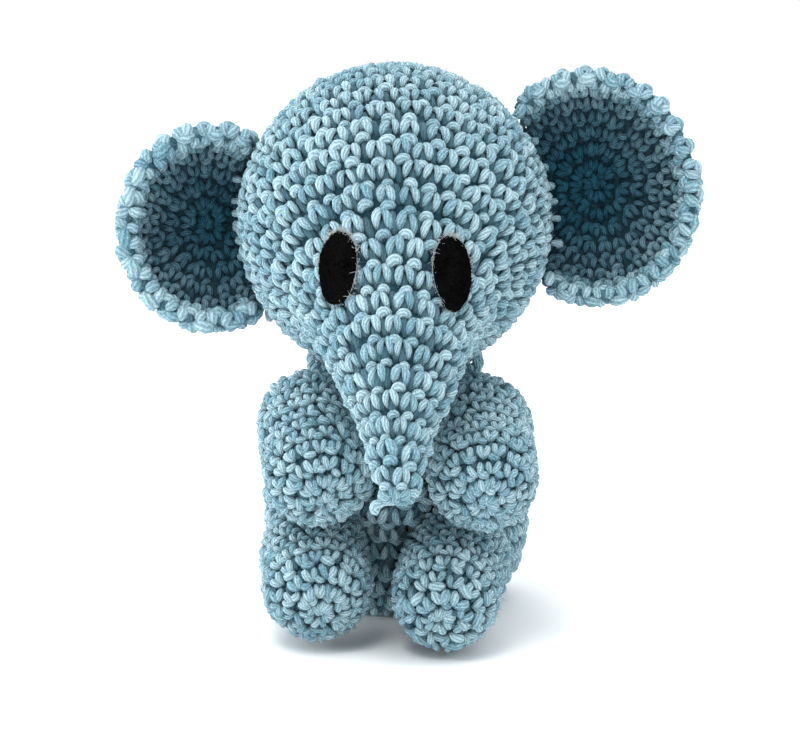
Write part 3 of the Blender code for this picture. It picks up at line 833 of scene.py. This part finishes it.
# ---- ears
def painted_cup_shade(name):
    """Painted shade deep inside an ear's cup, stronger towards the head, which fades out below the rim."""
    centre, across, upright, opening = ear_frame(name)

    def shade(points):
        sunk = -((points - centre) @ opening) / MM
        headward = (points - centre) @ across * -np.sign(centre[0]) / MM
        inside = np.linalg.norm(points - centre + opening * 2 * MM, axis=-1) / MM
        deep = np.clip((sunk + 0.15 * headward - 1.0) / 14.0, 0, 1) ** 0.75
        return deep * np.clip((27.5 - inside) / 1.5, 0, 1)

    return shade


def off_head(points):
    return np.linalg.norm(points - HEAD_CENTRE, axis=-1) > HEAD_RADIUS + 0.6 * MM


def bend_ear(piece):
    """Bakes an ear piece's place into its mesh."""
    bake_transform(piece)


def ear_seam(name, faces, rng):
    """Whip stitches along the line where the ear's faces meet the head, from the ear down to the head."""
    starts, ends, outs = [], [], []
    for fabric in faces:
        apart = np.linalg.norm(fabric.grid - HEAD_CENTRE, axis=2) - HEAD_RADIUS - 0.4 * MM
        columns = fabric.grid.shape[1]
        for column in range(0, columns, 3):
            inside = np.flatnonzero(apart[:, column] < 0)
            if not len(inside) or inside[0] < 3:
                continue
            row = inside[0]
            place, out = fabric.grid[row, column], fabric.normal[row, column]
            rise = unit(place - HEAD_CENTRE)
            level = unit(out - (out @ rise) * rise)
            turn, arc = (column + 0.8) / columns, row * fabric.step - 2.6 * MM
            start, _ = fabric.at(np.array([turn]), np.array([arc]))
            starts.append(start[0] + out * 0.3 * MM)
            ends.append(HEAD_CENTRE + unit(place + level * 3.2 * MM - HEAD_CENTRE) * (HEAD_RADIUS + 0.3 * MM))
            outs.append(unit(out + rise))
    starts, ends, outs = np.array(starts), np.array(ends), np.array(outs)
    return whip_stitches(name + "_seam_yarn", starts, ends, outs, SEWING_RADIUS, rng)


EAR_FACES = (("cup", -1, CUP_STITCH), ("rim", 1, RIM_STITCH), ("back", 1, EAR_STITCH))

for seed, name in enumerate(EARS, start=50):
    shell = Fabric(ear_rings(name, "shell", inset=1.5 * MM))
    pieces = [dress(lining(name + "_lining", shell, depth=0.0, keep=off_head), cup_cloth_painted_shade)]
    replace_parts(pieces[0], name)
    faces = {}
    for number, (part, facing, stitch) in enumerate(EAR_FACES):
        fabric = faces[part] = Fabric(ear_rings(name, part), facing=facing)
        if part == "rim":
            fabric.aim_from(ear_frame(name))
        places = stitch_places(fabric, stitch)
        piece = lay_stitches(f"{name}_{part}_stitches", fabric, places, seed + 10 * number, keep=off_head,
                             shade=None if part == "back" else painted_cup_shade(name),
                             plump=RIM_PLUMP if part == "rim" else 1.0)
        pieces.append(dress(piece, yarn if part == "back" else cup_yarn))
    pieces.append(ear_seam(name, (faces["cup"], faces["back"]), np.random.default_rng(seed + 30)))
    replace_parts(pieces[-1], name + "_seam")
    for piece in pieces:
        bend_ear(piece)

# ---- sewing
turns = (np.arange(COLLAR_STITCHES) + 0.5) / COLLAR_STITCHES
starts, _ = body_fabric.at(turns, np.full(COLLAR_STITCHES, body_fabric.length - 3.2 * MM))
collar, out = body_fabric.at(turns + 0.012, np.full(COLLAR_STITCHES, body_fabric.length))
rise = unit(collar - HEAD_CENTRE)
level = unit(out - (out * rise).sum(axis=1, keepdims=True) * rise)
ends = HEAD_CENTRE + unit(collar + level * 3.4 * MM - HEAD_CENTRE) * (HEAD_RADIUS + 0.4 * MM)
collar_yarn = whip_stitches("neck_seam_yarn", starts, ends, unit(out + rise), COLLAR_RADIUS,
                            np.random.default_rng(90))
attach(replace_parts(collar_yarn, "neck_seam"), "neck")

# the hole left in the back of the head is drawn together with the yarn's end
spokes = np.arange(CLOSING_STITCHES) / CLOSING_STITCHES
starts, out = head_fabric.at(spokes, np.full(CLOSING_STITCHES, 4.2 * MM))
ends, _ = head_fabric.at(spokes, np.full(CLOSING_STITCHES, 0.5 * MM))
closing = whip_stitches("head_closing_stitches", starts - out * 0.6 * MM, ends, out, CLOSING_RADIUS,
                        np.random.default_rng(92))
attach(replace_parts(closing, "head_closing_yarn"), "head")

# the yarn's end, fastened off at the tip of the trunk
low, high = (np.array(corner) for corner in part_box("trunk_fastening_off"))
knot = (low + high) / 2
t = np.linspace(0, 1, 17)
curl = knot + np.stack((
    np.interp(t, (0, 0.45, 0.7, 0.85, 1), (6.2, 1.2, -1.0, -1.3, -0.3)),
    np.interp(t, (0, 0.45, 1), (0.6, -1.4, -1.0)),
    np.interp(t, (0, 0.3, 0.5, 0.7, 0.85, 1), (0.3, 0.9, 1.0, 0.2, -0.9, -1.5))), axis=1) * MM
made = tubes(curl[None], np.interp(t, (0, 0.5, 0.9, 1), (0.7, 1.0, 1.35, 0.8))[None] * MM,
             np.broadcast_to((0.0, -1.0, 0.3), (1, 17, 3)), np.full(1, 0.9), np.random.default_rng(91))
tail = strands("trunk_tail", made, yarn)
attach(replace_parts(tail, "trunk_fastening_off"), "head")

# ---- eyes
solid = grid_mesh("head_shape", head_fabric.grid)[0]
head_surface = BVHTree.FromPolygons([v.co for v in solid.vertices], [p.vertices for p in solid.polygons])
bpy.data.meshes.remove(solid)


def eye_points(name, share, turn, height):
    """Points over the head, at a share of the eye's size from its middle, and the ways out there."""
    middle, facing, across, upright = eye_frame(name)
    x, y = share * np.cos(turn) * EYE_HALF_WIDTH, share * np.sin(turn) * EYE_HALF_HEIGHT
    way = unit(middle - HEAD_CENTRE + across * x[..., None] + upright * y[..., None])
    reach = [head_surface.ray_cast(HEAD_CENTRE, one)[3] for one in way]
    return HEAD_CENTRE + way * (np.array(reach) + height)[..., None], way


def fibres(name, roots, away, size, material, rng):
    """Short loose fibres that stand on roots and lean away, each with its own bend."""
    count = len(roots)
    t = np.linspace(0, 1, 4)[None, :, None]
    reach = unit(away + unit(rng.normal(size=(count, 3))) * 0.8) * rng.uniform(*size, (count, 1))
    bend = unit(rng.normal(size=(count, 3))) * np.linalg.norm(reach, axis=1, keepdims=True) * 0.5
    lines = roots[:, None] + reach[:, None] * t + bend[:, None] * t * t
    radii = np.broadcast_to(STRAY_TAPER * NAP_RADIUS, lines.shape[:2])
    up = np.broadcast_to(unit(np.cross(reach, bend))[:, None], lines.shape)
    return strands(name, tubes(lines, radii, up, rng.random(count), rng, STRAY_SIDES), material)


def felt_disc(name, seed, rng):
    """The eye's felt: a flat oval that follows the head, with a cut edge."""
    columns = 56
    turns = np.arange(columns) / columns * tau
    edge = 1 + 0.018 * np.sin(turns * 5 + seed) + rng.normal(0, 0.008, columns)
    shares = np.concatenate((np.linspace(0.02, 0.9, 10), (0.96, 1.0, 1.0, 0.96, 0.5)))
    rises = np.concatenate((np.full(10, 1.25), (1.20, 1.0, 0.35, 0.1, 0.1))) * MM
    grid = np.stack([eye_points(name, share * edge, turns, np.full(columns, rise))[0]
                     for share, rise in zip(shares, rises)])
    grid[0] = grid[0].mean(axis=0)
    mesh, _ = grid_mesh(name + "_felt", grid)
    return dress(new_object(name + "_felt", mesh), felt)


def felt_nap(name, rng):
    """Loose fibres on the felt."""
    turns, share = rng.uniform(0, tau, NAP_FIBRES), np.sqrt(rng.uniform(0.2, 1.04, NAP_FIBRES))
    roots, way = eye_points(name, share, turns, np.where(share > 0.97, 0.9, 1.2) * MM)
    return fibres(name + "_nap", roots, way * 0.5, (0.3 * MM, 0.8 * MM), felt, rng)


def glue_line(name, rng):
    """The thin line of dried glue round an eye."""
    columns = 72
    turns = np.arange(columns) / columns * tau
    share, rise = 1.0 + rng.normal(0, 0.012, columns), 0.15 * MM + rng.normal(0, 0.06 * MM, columns)
    line, way = eye_points(name, share, turns, rise)
    line, way = np.append(line, line[:1], 0), np.append(way, way[:1], 0)
    size = 0.16 * MM * (1 + rng.normal(0, 0.2, columns + 1))
    return strands(name + "_glue_line", tubes(line[None], size[None], way[None], np.zeros(1), rng), glue_coat)


def eye_tuft(name, rng):
    """Pale fluff caught in the glue, most of it in clumps on the upper edge."""
    clumps = rng.choice(rng.normal(pi / 2, 0.9, 26), CLUMPED_FIBRES)
    turns = np.concatenate((clumps + rng.normal(0, 0.08, CLUMPED_FIBRES), rng.uniform(0, tau, SPREAD_FIBRES)))
    count = CLUMPED_FIBRES + SPREAD_FIBRES
    roots, way = eye_points(name, rng.uniform(0.96, 1.15, count), turns, rng.uniform(0.1, 1.1, count) * MM)
    return fibres(name + "_tuft", roots, way * 0.2, (0.3 * MM, 1.3 * MM), pale_fibre, rng)


for seed, name in enumerate(EYES, start=80):
    rng = np.random.default_rng(seed)
    disc = felt_disc(name, seed, rng)
    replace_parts(disc, name)
    nap = felt_nap(name, rng)
    bead = glue_line(name, rng)
    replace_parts(bead, name + "_glue")
    for piece in (disc, nap, bead, eye_tuft(name, rng)):
        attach(piece, "head")

# ---- the seams that stay as they are in the CAD model
for node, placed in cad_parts.items():
    if not placed.hide_render:
        placed.data.materials.clear()
        placed.data.materials.append(yarn)

# ---- floor, light and camera
stage = bpy.data.meshes.new("floor")
stage.from_pydata([(-3, -3, 0), (3, -3, 0), (3, 3, 0), (-3, 3, 0)], [], [(0, 1, 2, 3)])
floor = new_object("floor", stage)
paper = Nodes("white_paper")
paper.shader.inputs["Base Color"].default_value = (0.97, 0.98, 0.985, 1)
paper.shader.inputs["Roughness"].default_value = 0.9
floor.data.materials.append(paper.material)

world = bpy.data.worlds.new("studio")     # bright behind and beside the toy, dimmer on the camera's side
bpy.context.scene.world = world
world.use_nodes = True
sky = world.node_tree
direction = sky.nodes.new("ShaderNodeSeparateXYZ")
sky.links.new(sky.nodes.new("ShaderNodeTexCoord").outputs["Generated"], direction.inputs[0])
fade = sky.nodes.new("ShaderNodeMapRange")
for key, value in {"From Min": -1.0, "From Max": 0.2, "To Min": 0.18, "To Max": 1.15}.items():
    fade.inputs[key].default_value = value
sky.links.new(direction.outputs["Y"], fade.inputs["Value"])
sky.links.new(fade.outputs[0], sky.nodes["Background"].inputs["Strength"])
sky.nodes["Background"].inputs["Color"].default_value = (0.96, 0.98, 1.0, 1)
backdrop, seen = sky.nodes.new("ShaderNodeBackground"), sky.nodes.new("ShaderNodeMixShader")
sky.links.new(sky.nodes.new("ShaderNodeLightPath").outputs["Is Camera Ray"], seen.inputs[0])
sky.links.new(sky.nodes["Background"].outputs[0], seen.inputs[1])
sky.links.new(backdrop.outputs[0], seen.inputs[2])
sky.links.new(seen.outputs[0], sky.nodes["World Output"].inputs["Surface"])
backdrop.inputs["Color"].default_value = (1, 1, 1, 1)


def area_light(name, place, target, size, power):
    data = bpy.data.lights.new(name, "AREA")
    data.energy, data.size = power, size
    lamp = new_object(name, data)
    lamp.location = place
    lamp.rotation_euler = (Vector(target) - Vector(place)).to_track_quat("-Z", "Y").to_euler()
    return lamp


toy_middle = (0, -0.02, 0.08)
area_light("key_light", (-0.25, -0.50, 1.00), toy_middle, 0.5, 5.6)
area_light("front_light", (0.06, -1.10, 0.05), toy_middle, 0.35, 4.6)
area_light("left_light", (-0.95, 0.10, 0.10), toy_middle, 0.5, 9.0)
area_light("right_light", (0.95, 0.20, 0.30), toy_middle, 0.7, 1.8)
sun = bpy.data.lights.new("sky_light", "SUN")
sun.energy, sun.angle = 1.3, radians(60)
new_object("sky_light", sun).rotation_euler = (radians(-8), 0, 0)

CAMERA_DISTANCE, CAMERA_RISE = 0.62, radians(8)
aim = Vector((-0.0005, -0.0120, 0.0780))
camera_data = bpy.data.cameras.new("camera")
camera_data.lens = 109.3
camera_data.shift_x, camera_data.shift_y = 0.00625, -0.0778
camera = new_object("camera", camera_data)
camera.location = aim + CAMERA_DISTANCE * Vector((0, -cos(CAMERA_RISE), sin(CAMERA_RISE)))
camera.rotation_euler = (pi / 2 - CAMERA_RISE, 0, 0)
bpy.context.scene.camera = camera
bpy.context.scene.view_settings.view_transform = "Standard"
